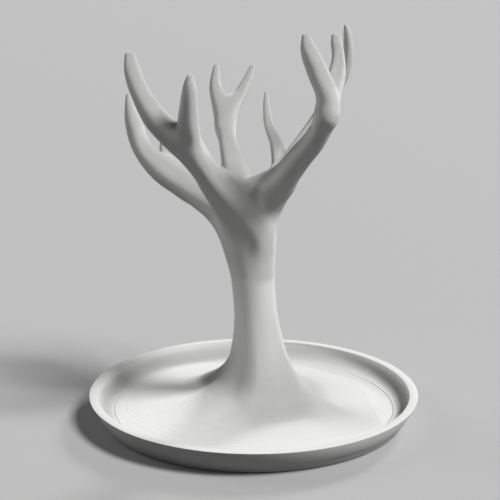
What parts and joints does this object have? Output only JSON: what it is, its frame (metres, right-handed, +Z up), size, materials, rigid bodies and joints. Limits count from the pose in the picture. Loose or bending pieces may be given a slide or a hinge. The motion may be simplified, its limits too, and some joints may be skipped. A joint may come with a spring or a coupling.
{
  "type": "jewelry tree",
  "caption": "Branching tree that stands on a waisted, rooted trunk in a round coved dish, for hanging necklaces and bracelets and laying rings.",
  "frame": {"origin": "middle of the face that the four pads rest on, under the middle of the dish", "axes": "+Z up along the trunk, the front of the tree faces -Y, +X to the viewer's right"},
  "size_m": [0.165, 0.165, 0.1954],
  "materials": {
    "dish_shell": "white, matt, with fine level print layers",
    "tree_shell": "white, matt, with fine level print layers",
    "pin_steel": "ground",
    "screw_steel": "zinc plated",
    "insert_brass": "turned",
    "pad_rubber": "matt moulded"
  },
  "bodies": {
    "root": {"dish": "dish_shell", "trunk": "tree_shell", "limb_front_left": "tree_shell", "limb_rear_left": "tree_shell", "limb_rear_middle": "tree_shell", "limb_rear_right": "tree_shell", "limb_front_right": "tree_shell", "pin_front_left": "pin_steel", "pin_rear_left": "pin_steel", "pin_rear_middle": "pin_steel", "pin_rear_right": "pin_steel", "pin_front_right": "pin_steel", "thread_insert": "insert_brass", "clamp_screw": "screw_steel", "screw_washer": "screw_steel", "pad_1": "pad_rubber", "pad_2": "pad_rubber", "pad_3": "pad_rubber", "pad_4": "pad_rubber"}
  },
  "joints": []
}
